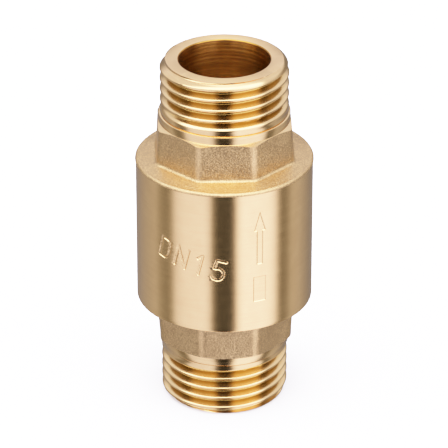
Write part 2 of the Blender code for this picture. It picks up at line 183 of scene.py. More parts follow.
class Look(Nodes):
    """A surface's material. Scales are in features to the metre."""

    def __init__(self, name):
        self.material = bpy.data.materials.new(name)
        self.material.use_nodes = True
        super().__init__(self.material.node_tree)
        self.shader = self.tree.nodes["Principled BSDF"]
        self.here = self.add("ShaderNodeTexCoord").outputs["Object"]

    def set(self, **inputs):
        """Gives the shader its inputs, named with _ for each space."""
        self.give(self.shader, [(key.replace("_", " "), value) for key, value in inputs.items()])

    def scaled(self, scale):
        return self.add("ShaderNodeMapping", [("Vector", self.here), ("Scale", scale)]).outputs["Vector"]

    def noise(self, scale, detail=3.0, stretch=(1, 1, 1), roughness=0.5):
        inputs = {"Scale": scale, "Detail": detail, "Roughness": roughness, "Vector": self.scaled(stretch)}
        return self.add("ShaderNodeTexNoise", inputs.items()).outputs["Fac"]

    def spots(self, scale):
        return self.add("ShaderNodeTexVoronoi", [("Scale", scale), ("Vector", self.here)]).outputs["Distance"]

    def root_shade_share(self):
        """Where the painted root shade goes: one in the pipe threads' roots, nought on their crests and on the
        chamfers.
        """
        from_axis = self.vector("LENGTH", self.scaled((1.0, 1.0, 0.0)))["Value"]
        deep = self.remap(from_axis, PIPE_R - 0.25 * MM, PIPE_R - 0.9 * MM)
        from_middle = self.math("ABSOLUTE", self.math("SUBTRACT", self.split(self.here)["Z"], LENGTH / 2))
        away = self.remap(from_middle, LENGTH / 2 - 1.6 * MM, LENGTH / 2 - 0.9 * MM, 1.0, 0.0)
        return self.math("MULTIPLY", deep, away)

    def bump(self, height, distance, strength=1.0, under=None):
        inputs = [("Height", height), ("Distance", distance), ("Strength", strength)]
        if under:
            inputs.append(("Normal", under))
        return self.add("ShaderNodeBump", inputs).outputs["Normal"]


BRASS = (0.90, 0.575, 0.225)
THREAD_BRASS = (0.84, 0.54, 0.21)
# Painted shade: the next colour is a darker, deeper brass for the thread roots, for the shade and bounced light
# between the flanks.
ROOT_SHADE_BRASS = (0.56, 0.325, 0.075)
# Painted shade: the next colour is the brass darkened for the dim light inside the bore.
BORE_SHADE_BRASS = (0.50, 0.245, 0.045)


def shade(colour, factor, warmth=0.0):
    """The colour made darker or lighter, and redder by warmth."""
    red, green, blue = (channel * factor for channel in colour)
    return (red, green * (1 - warmth), blue * (1 - 2 * warmth))


def turned_brass(
    name, roughness, rings, colour=BRASS, anisotropy=0.0, ring_depth=0.004 * MM, root=None, uneven=0.05
):
    """Brass with the fine rings that a lathe tool leaves round the Z axis.

    root is a colour of painted shade laid in a thread's roots, and uneven is how much darker the darkest rings
    are.
    """
    look = Look(name)
    fine = look.noise(rings, 4.0, (0.012, 0.012, 1.0), 0.6)
    broad = look.noise(420.0)
    rubbed = look.math("ADD", look.math("MULTIPLY", broad, 0.45), look.math("MULTIPLY", fine, 0.55))
    tint = look.colours(rubbed, (0.38, shade(colour, 1 - uneven, 0.02)), (0.62, shade(colour, 1 + uneven / 2)))
    # Painted shade: the roots get the darker root colour, laid on through the root mask.
    if root:
        roots = look.colours(broad, (0.3, shade(root, 0.92)), (0.7, shade(root, 1.05)))
        tint = look.mix(look.root_shade_share(), tint, roots)
    streaks = look.remap(fine, 0.3, 0.7, roughness - 0.05, roughness + 0.01)
    wear = look.math("MULTIPLY", look.noise(900.0), 0.05)
    look.set(
        Metallic=1.0,
        Base_Color=tint,
        Roughness=look.math("ADD", streaks, wear),
        Normal=look.bump(fine, ring_depth),
    )
    if anisotropy:
        tangent = look.add("ShaderNodeTangent", direction_type="RADIAL", axis="Z")
        look.set(Anisotropic=anisotropy, Anisotropic_Rotation=0.25, Tangent=tangent.outputs["Tangent"])
    return look.material


def forged_brass(name):
    """Brass as forged and blasted, with a fine pebbled grain."""
    look = Look(name)
    grain = look.noise(4300.0, 2.5, roughness=0.6)
    broad = look.noise(240.0)
    speckle = look.math("ADD", look.math("MULTIPLY", grain, 0.75), look.math("MULTIPLY", broad, 0.25))
    stops = [(0.36, shade(BRASS, 0.52, 0.02)), (0.50, shade(BRASS, 0.65)), (0.64, shade(BRASS, 0.88, -0.04))]
    pits = look.bump(look.spots(2600.0), 0.02 * MM, 0.6)
    look.set(
        Metallic=1.0,
        Base_Color=look.colours(speckle, *stops),
        Roughness=look.remap(grain, 0.3, 0.7, 0.34, 0.52),
        Normal=look.bump(grain, 0.045 * MM, under=pits),
    )
    return look.material


def steel(name, roughness, stretch):
    """Stainless steel with fine lines, drawn out along the axes whose stretch is small."""
    look = Look(name)
    lines = look.noise(9000.0, 3.0, stretch)
    look.set(
        Metallic=1.0,
        Base_Color=look.colours(look.noise(500.0), (0.3, (0.50, 0.49, 0.47)), (0.7, (0.66, 0.65, 0.62))),
        Roughness=look.remap(lines, 0.3, 0.7, roughness - 0.06, roughness + 0.08),
        Normal=look.bump(lines, 0.003 * MM),
    )
    return look.material


def rubber(name):
    """Black rubber with a fine grain and a faint bloom."""
    look = Look(name)
    bloom = look.noise(300.0)
    look.set(
        Base_Color=look.colours(bloom, (0.35, (0.012, 0.012, 0.013)), (0.7, (0.032, 0.032, 0.034))),
        Roughness=look.remap(bloom, 0.3, 0.7, 0.45, 0.62),
        Normal=look.bump(look.noise(6000.0, 4.0), 0.012 * MM),
    )
    return look.material


def ptfe(name):
    """Waxy white plastic with fine turned rings."""
    look = Look(name)
    cloud = look.noise(500.0)
    rings = look.noise(5000.0, 3.0, (0.02, 0.02, 1.0))
    look.set(
        Subsurface_Weight=0.25,
        Subsurface_Scale=0.4 * MM,
        Base_Color=look.colours(cloud, (0.3, (0.74, 0.73, 0.68)), (0.7, (0.84, 0.83, 0.79))),
        Roughness=look.remap(cloud, 0.3, 0.7, 0.35, 0.48),
        Normal=look.bump(rings, 0.006 * MM),
    )
    return look.material


BARREL_LOOK = turned_brass("barrel_brass", 0.205, 6500.0, anisotropy=0.9)
# The thread's roots carry painted shade in their darker colour.
THREAD_LOOK = turned_brass("thread_brass", 0.17, 5200.0, THREAD_BRASS, 0.5, root=ROOT_SHADE_BRASS, uneven=0.12)
FACE_LOOK = turned_brass("faced_brass", 0.34, 4000.0, anisotropy=0.8)
# The bore's dark amber is painted shade for the dim light inside it.
BORE_SHADED_LOOK = turned_brass("bored_brass_shaded", 0.22, 2600.0, BORE_SHADE_BRASS, 0.9, 0.030 * MM, uneven=0.32)
FORGED_LOOK = forged_brass("forged_brass")
PARTS_LOOK = turned_brass("parts_brass", 0.26, 5000.0)
ROD_STEEL = steel("rod_steel", 0.24, (0.02, 0.02, 1.0))
WIRE_STEEL = steel("wire_steel", 0.30, (1.0, 1.0, 1.0))
RUBBER = rubber("nitrile")
PTFE = ptfe("ptfe_white")

# A face's look: its place in the housing's list, or nought on a piece with one look.
BARREL, THREAD, FACE, BORE, FORGED = range(5)
ONLY_LOOK = 0
HOUSING_LOOKS = [BARREL_LOOK, THREAD_LOOK, FACE_LOOK, BORE_SHADED_LOOK, FORGED_LOOK]


# ---- Mesh building ---------------------------------------------------------


def round_angles(count):
    return TAU * np.arange(count) / count


class Shell:
    """A mesh gathered from rings of points round the Z axis. Each face has a look, a material index."""

    def __init__(self):
        self.points = []
        self.faces = []
        self.looks = []

    def ring(self, radius, z, angles):
        """Adds a ring of points and returns (point numbers, angles)."""
        radius = np.broadcast_to(radius, len(angles))
        z = np.broadcast_to(z, len(angles))
        first = len(self.points)
        self.points.extend(zip(radius * np.cos(angles), radius * np.sin(angles), z))
        return np.arange(first, first + len(angles)), angles

    def face(self, corners, look):
        self.faces.append(tuple(int(corner) for corner in corners))
        self.looks.append(look)

    def join(self, low, high, look):
        """Faces between two rings. They may have different numbers of points."""
        (low_points, low_angles), (high_points, high_angles) = low, high
        if len(low_points) == len(high_points):
            for i in range(len(low_points)):
                j = (i + 1) % len(low_points)
                self.face((low_points[i], low_points[j], high_points[j], high_points[i]), look)
            return
        i = j = 0
        low_turn = np.append(low_angles, low_angles[0] + TAU)
        high_turn = np.append(high_angles, high_angles[0] + TAU)
        low_points = np.append(low_points, low_points[0])
        high_points = np.append(high_points, high_points[0])
        while i < len(low_points) - 1 or j < len(high_points) - 1:
            next_low = low_turn[i + 1] if i < len(low_points) - 1 else math.inf
            next_high = high_turn[j + 1] if j < len(high_points) - 1 else math.inf
            if next_low <= next_high:
                self.face((low_points[i], low_points[i + 1], high_points[j]), look)
                i += 1
            else:
                self.face((low_points[i], high_points[j + 1], high_points[j]), look)
                j += 1

    def skin(self, rings, look):
        for low, high in zip(rings, rings[1:]):
            self.join(low, high, look)

    def turned(self, profile, columns, look):
        """A turned stretch of wall through (radius, z) points."""
        rings = [self.ring(radius, z, round_angles(columns)) for radius, z in profile]
        self.skin(rings, look)
        return rings

    def sheet(self, points, faces, look):
        first = len(self.points)
        self.points.extend(points)
        for corners in faces:
            self.face([first + corner for corner in corners], look)

    def tube(self, sections, look):
        """A tube through closed sections of points, with both ends closed."""
        first, sides = len(self.points), len(sections[0])
        for section in sections:
            self.points.extend(section)
        for low in range(first, len(self.points) - sides, sides):
            for side in range(sides):
                after = (side + 1) % sides
                self.face((low + side, low + after, low + sides + after, low + sides + side), look)
        self.face(range(first + sides - 1, first - 1, -1), look)
        self.face(range(len(self.points) - sides, len(self.points)), look)

    def piece(self, name, looks, grain=None, smooth_angle=34):
        mesh = bpy.data.meshes.new(name)
        mesh.from_pydata([tuple(map(float, point)) for point in self.points], [], self.faces)
        for look in looks:
            mesh.materials.append(look)
        mesh.polygons.foreach_set("material_index", self.looks)
        maker = bmesh.new()
        maker.from_mesh(mesh)
        bmesh.ops.remove_doubles(maker, verts=maker.verts, dist=0.0005 * MM)
        bmesh.ops.dissolve_degenerate(maker, edges=maker.edges, dist=0.0002 * MM)
        bmesh.ops.recalc_face_normals(maker, faces=maker.faces)
        if grain is not None:
            roughen(maker, grain)
        maker.to_mesh(mesh)
        maker.free()
        mesh.shade_smooth()
        mesh.set_sharp_from_angle(angle=math.radians(smooth_angle))
        made = bpy.data.objects.new(name, mesh)
        bpy.context.scene.collection.objects.link(made)
        return made


def roughen(maker, look, fine=0.016 * MM, broad=0.03 * MM):
    """Pushes the points whose faces all have the look in and out, as the blasted skin is."""
    maker.normal_update()
    moves = []
    for vertex in maker.verts:
        if all(face.material_index == look for face in vertex.link_faces):
            here = vertex.co / MM
            height = fine * noise.noise(here * 2.3) + broad * noise.noise(here * 0.42)
            moves.append((vertex, vertex.normal * height))
    for vertex, move in moves:
        vertex.co += move


def polygon_radius(angles, apothem, corner_r, sides=8):
    """Polar radii of a regular polygon with rounded corners, one flat facing angle zero."""
    half = math.pi / sides
    off_flat = np.abs((angles + half) % (2 * half) - half)
    centre = (apothem - corner_r) / math.cos(half)
    off_corner = half - off_flat
    across = centre * np.sin(off_corner)
    rounded = centre * np.cos(off_corner) + np.sqrt(np.maximum(corner_r**2 - across**2, 0))
    on_flat = off_flat <= np.arctan2(centre * math.sin(half), apothem)
    return np.where(on_flat, apothem / np.cos(off_flat), rounded)


def pipe_form():
    """One pitch of the pipe thread as (share of the pitch, share of the depth), crest and root rounded."""
    half_crest, half_root, blend = 0.085, 0.085, 0.055
    steps = (0.0, 0.04, 0.07, 0.10, 0.14, 0.25, 0.36, 0.40, 0.43, 0.46, 0.5)

    def depth(off_crest):
        def ramp(over):
            if over <= -blend:
                return 0.0
            return over if over >= blend else (over + blend) ** 2 / (4 * blend)

        flank = 0.5 - half_crest - half_root
        return (ramp(off_crest - half_crest) - ramp(off_crest - half_crest - flank)) / flank

    rising = [(half_crest + step, depth(step)) for step in steps]
    falling = [(1 + half_crest - step, depth(step)) for step in reversed(steps[1:-1])]
    return rising + falling


# One pitch of the screwed joint's thread, as pipe_form gives it.
COARSE_FORM = [(0.0, 0.0), (0.3, 0.0), (0.36, 0.12), (0.6, 0.9), (0.66, 1.0), (0.72, 0.9), (0.96, 0.12)]


def thread(shell, low, high, pitch, form, wall, crest_r, depth_at, columns, look):
    """A right-hand thread between two heights, ending in a plain ring at each.

    wall(z) is the radius before cutting, depth_at(z) the groove's depth, and crest_r the radius that
    it's counted from.
    """
    angles = TAU * np.arange(columns + 1) / columns
    turns = np.arange(math.floor(low / pitch) - 1, math.ceil(high / pitch) + 1)
    share = (turns[:, None] + np.array([s for s, _ in form])).ravel()
    depth = np.tile([d for _, d in form], len(turns))
    z = pitch * (share[None, :] + angles[:, None] / TAU)
    held = np.clip(z, low, high)
    inside = (z > low) & (z < high)
    groove = np.where(inside, depth[None, :] * depth_at(z), 0.0)
    radius = np.minimum(wall(held), crest_r - groove)
    points = np.stack([radius * np.cos(angles)[:, None], radius * np.sin(angles)[:, None], held], -1)
    rows = len(share)
    faces = []
    for column in range(columns):
        here, there = column * rows, (column + 1) * rows
        for row in range(rows - 1):
            if held[column, row] != held[column, row + 1] or held[column + 1, row] != held[column + 1, row + 1]:
                faces.append((here + row, there + row, there + row + 1, here + row + 1))
    shell.sheet([tuple(point) for point in points.reshape(-1, 3)], faces, look)


# ---- Pipe ends -------------------------------------------------------------

NECK_COLUMNS = 384
THREAD_COLUMNS = 192
BORE_COLUMNS = 128
SHOULDER_STEPS, FILLET_STEPS, FLAT_STEPS, CONE_STEPS = 12, 6, 26, 3


def pipe_end(shell, face_z, root_z, neck, edge_r):
    """The outside of one end: shoulder, fillet, octagonal neck, turned cone and band, and thread."""
    up = 1 if face_z > root_z else -1
    angles = round_angles(NECK_COLUMNS)

    def apothem(height):
        return NECK_APOTHEM - NECK_DRAFT * np.maximum(height - SHOULDER_RISE - NECK_FILLET, 0.0)

    def forged(height, offset=0.0):
        return polygon_radius(angles, apothem(height), NECK_CORNER_R) + offset

    # The crease between the forged flats and the turned cone, found by correcting it a few times.
    crease = np.full(NECK_COLUMNS, neck - 0.3 * MM)
    for _ in range(6):
        crease = neck - NECK_CONE * (forged(crease) - BAND_R)

    rings = []
    foot = forged(SHOULDER_RISE, NECK_FILLET)
    for step in range(SHOULDER_STEPS):
        share = step / SHOULDER_STEPS
        rings.append(shell.ring(edge_r + (foot - edge_r) * share, root_z + up * SHOULDER_RISE * share, angles))
    for step in range(FILLET_STEPS):
        bend = math.pi / 2 * step / FILLET_STEPS
        height = SHOULDER_RISE + NECK_FILLET * (1 - math.cos(bend))
        radius = forged(height, NECK_FILLET * (1 - math.sin(bend)))
        rings.append(shell.ring(radius, root_z + up * height, angles))
    start = SHOULDER_RISE + NECK_FILLET
    for step in range(FLAT_STEPS + 1):
        height = start + (crease - start) * step / FLAT_STEPS
        rings.append(shell.ring(forged(height), root_z + up * height, angles))
    shell.skin(rings, FORGED)
    cone = [rings[-1]]
    for step in range(1, CONE_STEPS + 1):
        height = crease + (neck - crease) * step / CONE_STEPS
        cone.append(shell.ring(BAND_R + (neck - height) / NECK_CONE, root_z + up * height, angles))
    band_end = neck + BAND
    band = [
        (BAND_R, neck + 0.06 * MM),
        (BAND_R, band_end - 0.12 * MM),
        (BAND_R - 0.04 * MM, band_end - 0.03 * MM),
        (BAND_R - 0.12 * MM, band_end + 0.02 * MM),
        (PIPE_R - UNDERCUT, band_end + 0.06 * MM),
        (PIPE_R - UNDERCUT, band_end + 0.14 * MM),
        (PIPE_R, band_end + RELIEF),
    ]
    turned = [shell.ring(radius, root_z + up * height, round_angles(THREAD_COLUMNS)) for radius, height in band]
    shell.skin([*cone, *turned], THREAD)

    thread_root = root_z + up * (band_end + RELIEF)

    def wall(z):
        climb = np.clip(np.abs(face_z - z) / CHAMFER, 0.0, 1.0)
        share = (1 - (1 - climb) ** CHAMFER_ROUNDNESS) ** (1 / CHAMFER_ROUNDNESS)
        return PIPE_END_R + (PIPE_R - PIPE_END_R) * share

    def depth_at(z):
        return PIPE_DEPTH * np.clip(np.abs(z - thread_root) / RUN_OUT, 0.0, 1.0) ** 2

    low, high = sorted((face_z, thread_root))
    thread(shell, low, high, PIPE_PITCH, pipe_form(), wall, PIPE_R, depth_at, THREAD_COLUMNS, THREAD)
    return rings[0]


def joint_thread(shell, crest_r):
    """The screwed joint's thread, in the body's bore or round the cap's spigot."""
    thread(
        shell,
        JOINT_LOW,
        JOINT_HIGH,
        JOINT_PITCH,
        COARSE_FORM,
        lambda z: crest_r,
        crest_r,
        lambda z: JOINT_DEPTH,
        BORE_COLUMNS,
        THREAD,
    )


def snap_groove(pocket_r, z):
    half = SNAP_WIRE_R + 0.05 * MM
    deep = pocket_r + SNAP_GROOVE
    return [(pocket_r, z - half), (deep, z - half), (deep, z + half), (pocket_r, z + half)]


# ---- Marks cut in the barrel ----------------------------------------------

MARK_MIDDLE = 30.5  # height that the marks are laid out from
MARK_DEPTH = 0.13  # millimetres, as all the marks' numbers are
MARK_SLOPE = 0.13  # width of a mark's sloping edge
ARROW_AZIMUTH = 21.4  # degrees to the right of the front
ARROW_HEAD_HALF = 1.05
ARROW_SHAFT_HALF = 0.5
TEXT_HALF = 0.27  # half a stroke's width
TEXT_HEIGHT = 3.5
TEXT_SLANT = math.radians(-14)
TEXT_STEP = 12.5  # degrees between letters
TEXT_FIRST = -43.0
TEXT_MIDDLE = 0.55  # height of the second letter's middle


def arc(centre, radius, start, end, steps=10):
    angles = [math.radians(start + (end - start) * step / steps) for step in range(steps + 1)]
    return [(centre[0] + radius * math.cos(a), centre[1] + radius * math.sin(a)) for a in angles]


def glyphs():
    """Plain stroke letters for the nominal size, on a unit height with the centre at zero."""
    bowl = [*arc((-0.02, 0.22), 0.28, 90, 0), *arc((-0.02, -0.22), 0.28, 0, -90)]
    return [
        [[(-0.26, -0.5), (-0.26, 0.5), (-0.02, 0.5), *bowl, (-0.26, -0.5)]],
        [[(-0.27, -0.5), (-0.27, 0.5), (0.27, -0.5), (0.27, 0.5)]],
        [[(-0.16, 0.28), (0.04, 0.5), (0.04, -0.5)]],
        [[(0.24, 0.5), (-0.2, 0.5), (-0.24, 0.06), (0.0, 0.1), *arc((-0.03, -0.2), 0.3, 78, -140, 14)]],
    ]


def mark_strokes():
    """Centre lines of the letters, unrolled: (x along the barrel's front, height over its middle)."""
    strokes = []
    cos, sin = math.cos(TEXT_SLANT), math.sin(TEXT_SLANT)
    middle = TEXT_FIRST + 1.0 * TEXT_STEP
    for place, letter in enumerate(glyphs()):
        azimuth = TEXT_FIRST + place * TEXT_STEP
        x0 = math.radians(azimuth) * BARREL_R / MM
        z0 = TEXT_MIDDLE + math.tan(TEXT_SLANT) * math.radians(azimuth - middle) * BARREL_R / MM
        for line in letter:
            strokes.append(
                [
                    (x0 + TEXT_HEIGHT * (x * cos - y * sin), z0 + TEXT_HEIGHT * (x * sin + y * cos))
                    for x, y in line
                ]
            )
    return strokes


def arrow_outlines():
    """Closed outlines of the flow arrow and its plain tail, unrolled as the strokes are."""
    x = math.radians(ARROW_AZIMUTH) * BARREL_R / MM
    head, shaft = ARROW_HEAD_HALF, ARROW_SHAFT_HALF
    arrow = [(0, 9.15), (-head, 5.6), (-shaft, 5.6), (-shaft, -0.4), (shaft, -0.4), (shaft, 5.6), (head, 5.6)]
    tail = [(-1.1, -2.6), (-1.1, -7.2), (1.1, -7.2), (1.1, -2.6)]
    return [[(x + dx, z) for dx, z in outline] for outline in (arrow, tail)]


def segment_distance(points, start, end):
    start, end = np.array(start), np.array(end)
    along = end - start
    share = np.clip(((points - start) @ along) / max(along @ along, 1e-12), 0.0, 1.0)
    return np.linalg.norm(points - start - share[:, None] * along, axis=1)


def mark_distance(points):
    """Signed distance to the nearest mark's edge, in millimetres, negative inside."""
    nearest = np.full(len(points), 1e3)
    for stroke in mark_strokes():
        for start, end in zip(stroke, stroke[1:]):
            nearest = np.minimum(nearest, segment_distance(points, start, end) - TEXT_HALF)
    for outline in arrow_outlines():
        edge = np.full(len(points), 1e3)
        inside = np.zeros(len(points), bool)
        for (x0, z0), (x1, z1) in zip(outline, [*outline[1:], outline[0]]):
            edge = np.minimum(edge, segment_distance(points, (x0, z0), (x1, z1)))
            if z0 != z1:
                crosses = (z0 > points[:, 1]) != (z1 > points[:, 1])
                inside ^= crosses & (points[:, 0] < x0 + (points[:, 1] - z0) * (x1 - x0) / (z1 - z0))
        nearest = np.minimum(nearest, np.where(inside, -edge, edge))
    return nearest


BARREL_COLUMNS = 240
BARREL_ROWS = 49
FINE_SPACING = 0.065  # millimetres between the points round the marks' edges
FINE_ACROSS = (-13.5, 8.0)  # what the marks cover of the unrolled barrel
FINE_UP = (-8.0, 10.0)
FINE_MARGIN = 0.07  # how far past a mark's slope the fine points reach
COARSE_CLEARANCE = 0.25  # how far the other points stay from a mark's edge


def barrel_wall(shell):
    """The barrel's outside between its edge breaks, with the marks cut in."""
    half = math.pi * BARREL_R / MM
    middle = MARK_MIDDLE
    bottom = (BARREL_LOW + EDGE) / MM - middle
    top = (BARREL_HIGH - SHOULDER_EDGE - SHOULDER_STEP) / MM - middle
    across = np.linspace(-half, half, BARREL_COLUMNS + 1)
    coarse = np.stack(np.meshgrid(across, np.linspace(bottom, top, BARREL_ROWS)), -1).reshape(-1, 2)
    fine_lines = [np.arange(*limits, FINE_SPACING) for limits in (FINE_ACROSS, FINE_UP)]
    fine = np.stack(np.meshgrid(*fine_lines), -1).reshape(-1, 2)
    jitter = np.random.default_rng(5)
    fine += 0.12 * FINE_SPACING * jitter.uniform(-1.0, 1.0, fine.shape)
    near = mark_distance(fine)
    fine = fine[(near > -MARK_SLOPE - FINE_MARGIN) & (near < FINE_MARGIN)]
    on_rim = (np.abs(coarse[:, 1] - bottom) < 1e-6) | (np.abs(coarse[:, 1] - top) < 1e-6)
    away = np.abs(mark_distance(coarse)) > COARSE_CLEARANCE
    on_seam = np.abs(np.abs(coarse[:, 0]) - half) < 1e-6
    inner = coarse[away & ~on_rim & ~on_seam]
    inner += 0.03 * jitter.uniform(-1.0, 1.0, inner.shape)
    points = np.concatenate([coarse[on_rim | on_seam], inner, fine])
    result = delaunay_2d_cdt([Vector(p) for p in points], [], [], 0, 1e-6)
    if len(result[2]) < len(points):
        raise RuntimeError("the barrel's wall wasn't meshed")
    flat = np.array([tuple(p) for p in result[0]])
    share = np.clip(-mark_distance(flat) / MARK_SLOPE, 0.0, 1.0)
    depth = MARK_DEPTH * share * share * (3 - 2 * share)
    angle = flat[:, 0] / (BARREL_R / MM) - math.pi / 2
    radius = BARREL_R - depth * MM
    solid = np.stack([radius * np.cos(angle), radius * np.sin(angle), (flat[:, 1] + middle) * MM], -1)
    shell.sheet([tuple(p) for p in solid], result[2], BARREL)


def rim_angles(columns):
    """Angles that start at the back, where the unrolled barrel's two sides meet."""
    return -math.pi / 2 - math.pi + round_angles(columns)


def from_zero(ring):
    """The ring with its points in the order of their angles from zero."""
    points, angles = ring
    angles = angles % TAU
    order = np.argsort(angles)
    return points[order], angles[order]


def edge_break(shell, outer_r, edge_z, face_z, look, steps=4):
    """A rounded edge round the barrel's end. Returns its first ring and the one on the face."""
    rise = face_z - edge_z
    rings = []
    for step in range(steps + 1):
        bend = math.pi / 2 * step / steps
        radius = outer_r - abs(rise) * (1 - math.cos(bend))
        rings.append(shell.ring(radius, edge_z + rise * math.sin(bend), rim_angles(BARREL_COLUMNS)))
    shell.skin(rings, look)
    return rings[0], rings[-1]


# ---- Housing ---------------------------------------------------------------


def make_outlet_body():
    shell = Shell()
    barrel_wall(shell)
    rim, upper = edge_break(shell, SHOULDER_R, BARREL_HIGH - SHOULDER_EDGE, BARREL_HIGH, FORGED, 7)
    wall_top = BARREL_HIGH - SHOULDER_EDGE - SHOULDER_STEP
    shell.join(shell.ring(BARREL_R, wall_top, rim_angles(BARREL_COLUMNS)), rim, FORGED)
    _, lower = edge_break(shell, BARREL_R, BARREL_LOW + EDGE, BARREL_LOW, BARREL)
    neck_root = pipe_end(shell, LENGTH, BARREL_HIGH, OUTLET_NECK, SHOULDER_R - SHOULDER_EDGE - 0.08 * MM)
    shell.join(from_zero(upper), neck_root, FORGED)
    joint_r = JOINT_R + JOINT_GAP
    register = [
        (REGISTER_R, BARREL_LOW),
        (REGISTER_R, BARREL_LOW + REGISTER_DEPTH),
        (joint_r, BARREL_LOW + REGISTER_DEPTH + EDGE),
        (joint_r, JOINT_LOW),
    ]
    inside = shell.turned(register, BORE_COLUMNS, FACE)
    shell.join(from_zero(lower), inside[0], FACE)
    joint_thread(shell, joint_r)
    shell.turned(
        [
            (joint_r, JOINT_HIGH),
            (CHAMBER_R, JOINT_HIGH + joint_r - CHAMBER_R),
            (CHAMBER_R, CHAMBER_HIGH - 0.3 * MM),
            (CHAMBER_R - 0.3 * MM, CHAMBER_HIGH),
            (OUTLET_POCKET_R, CHAMBER_HIGH),
            *snap_groove(OUTLET_POCKET_R, OUTLET_SNAP_Z),
            (OUTLET_POCKET_R, OUTLET_POCKET_HIGH),
            (BORE_R, OUTLET_POCKET_HIGH),
        ],
        BORE_COLUMNS,
        BORE,
    )
    bore_mouth(shell, OUTLET_POCKET_HIGH, LENGTH)
    return shell.piece("outlet_body_shell", HOUSING_LOOKS, FORGED)


def bore_mouth(shell, low, face_z):
    """The bore from low to its mouth, and the end face round it."""
    up = 1 if face_z > low else -1
    round_edge = [
        (BORE_R + EDGE * (1 - math.cos(bend)), face_z - up * EDGE * (1 - math.sin(bend)))
        for bend in (math.radians(30) * step for step in range(4))
    ]
    rings = shell.turned([(BORE_R, low), (BORE_R, (low + face_z) / 2), *round_edge], BORE_COLUMNS, BORE)
    outer = shell.ring(PIPE_END_R, face_z, round_angles(THREAD_COLUMNS))
    shell.join(rings[-1], outer, FACE)


def make_inlet_cap():
    shell = Shell()
    neck_root = pipe_end(shell, 0.0, BARREL_LOW, INLET_NECK, FLANGE_R)
    flange_high = BARREL_LOW + FLANGE_THICK
    root_r = JOINT_R - JOINT_DEPTH
    flange = shell.turned(
        [
            (FLANGE_R, BARREL_LOW + EDGE),
            (FLANGE_R, flange_high),
            (root_r, flange_high + EDGE),
            (root_r, JOINT_LOW - EDGE),
            (JOINT_R, JOINT_LOW),
        ],
        BORE_COLUMNS,
        FACE,
    )
    shell.join(neck_root, flange[0], FACE)
    joint_thread(shell, JOINT_R)
    groove_half = O_RING_SECTION_R + GAP
    shell.turned(
        [
            (JOINT_R, JOINT_HIGH),
            (SPIGOT_R, JOINT_HIGH + GAP),
            (SPIGOT_R, O_RING_Z - groove_half),
            (O_RING_GROOVE_R, O_RING_Z - groove_half),
            (O_RING_GROOVE_R, O_RING_Z + groove_half),
            (SPIGOT_R, O_RING_Z + groove_half),
            (SPIGOT_R, SPIGOT_HIGH - EDGE),
            (SPIGOT_R - EDGE, SPIGOT_HIGH),
            (SEAT_R + SEAT_WIDTH + EDGE, SPIGOT_HIGH),
            (SEAT_R + SEAT_WIDTH, SEAT_HIGH - 0.1 * MM),
            (SEAT_R + SEAT_WIDTH - 0.1 * MM, SEAT_HIGH),
            (SEAT_R + 0.1 * MM, SEAT_HIGH),
            (SEAT_R, SEAT_HIGH - 0.1 * MM),
            *reversed(snap_groove(SEAT_R, INLET_SNAP_Z)),
            (SEAT_R, INLET_POCKET_LOW),
            (BORE_R, INLET_POCKET_LOW),
        ],
        BORE_COLUMNS,
        BORE,
    )
    bore_mouth(shell, INLET_POCKET_LOW, 0.0)
    return shell.piece("inlet_cap_shell", HOUSING_LOOKS, FORGED)


def place(piece, body, slot, *nodes):
    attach(piece, body)
    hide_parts(*nodes)
    return piece


place(make_outlet_body(), "housing", "body_brass", "outlet_body")
inlet_shell = make_inlet_cap()
inlet_shell.rotation_euler.z = CAP_TURN
place(inlet_shell, "housing", "cap_brass", "inlet_cap")

# ---- Inner pieces ----------------------------------------------------------

# Pairs of numbers are the lower and upper heights of a piece, and WASHER's its two radii.
STEM_R = 2.0 * MM
BUSH_R = 2.9 * MM
HUB_R = 4.0 * MM
RIB_WIDTH = 1.5 * MM
RIM_WALL = 1.0 * MM
RUNNING = 0.1 * MM
OUTLET_HUB = (40.4 * MM, 46.8 * MM)
INLET_HUB = (14.6 * MM, 19.8 * MM)
SNAP_OPENING = math.radians(36)
SPRING_R = 5.3 * MM
SPRING_WIRE_R = 0.3 * MM
SPRING_TURNS = 5
WASHER = (4.35 * MM, 6.5 * MM)
WASHER_THICK = 0.45 * MM
FOOT_WASHER_LOW = 32.45 * MM
TOP_WASHER_HIGH = 42.1 * MM
STEM_ENDS = (13.2 * MM, 48.6 * MM)
STEM_COLLAR = (34.5 * MM, 35.9 * MM)
STEM_COLLAR_R = 3.3 * MM
DISC_R = 10.1 * MM
DISC_LIP = 0.45 * MM
DISC_LOW = 29.4 * MM
DISC_RECESS = 30.5 * MM
DISC_HIGH = 32.3 * MM
BOSS_R = 4.2 * MM
BOSS_HIGH = 34.35 * MM
SEAL = (28.55 * MM, 30.35 * MM)
SEAL_R = 9.5 * MM
CLAMP = (26.9 * MM, 28.4 * MM)
CLAMP_R = 6.8 * MM
LOCK_WASHER_R = 3.6 * MM
LOCK_WASHER_Z = 26.3 * MM
NUT = (22.9 * MM, 25.75 * MM)
NUT_APOTHEM = 3.5 * MM


def box_profile(inner, outer, low, high):
    return [(inner, low), (outer, low), (outer, high), (inner, high)]


def eased(profile, reach, steps=3):
    """The closed profile with its corners rounded."""
    out = []
    for i, here in enumerate(profile):
        here = np.array(here)
        ends = []
        for other in (profile[i - 1], profile[(i + 1) % len(profile)]):
            edge = np.array(other) - here
            length = np.linalg.norm(edge)
            ends.append(here + edge / length * min(reach, 0.4 * length))
        for step in range(steps + 1):
            share = step / steps
            out.append(tuple((1 - share) ** 2 * ends[0] + 2 * share * (1 - share) * here + share**2 * ends[1]))
    return out


def turned_ring(shell, profile, columns=128, ease=0.08 * MM):
    """A ring turned from a closed profile, with its edges eased."""
    rings = [shell.ring(radius, z, round_angles(columns)) for radius, z in eased(profile, ease)]
    shell.skin([*rings, rings[0]], ONLY_LOOK)


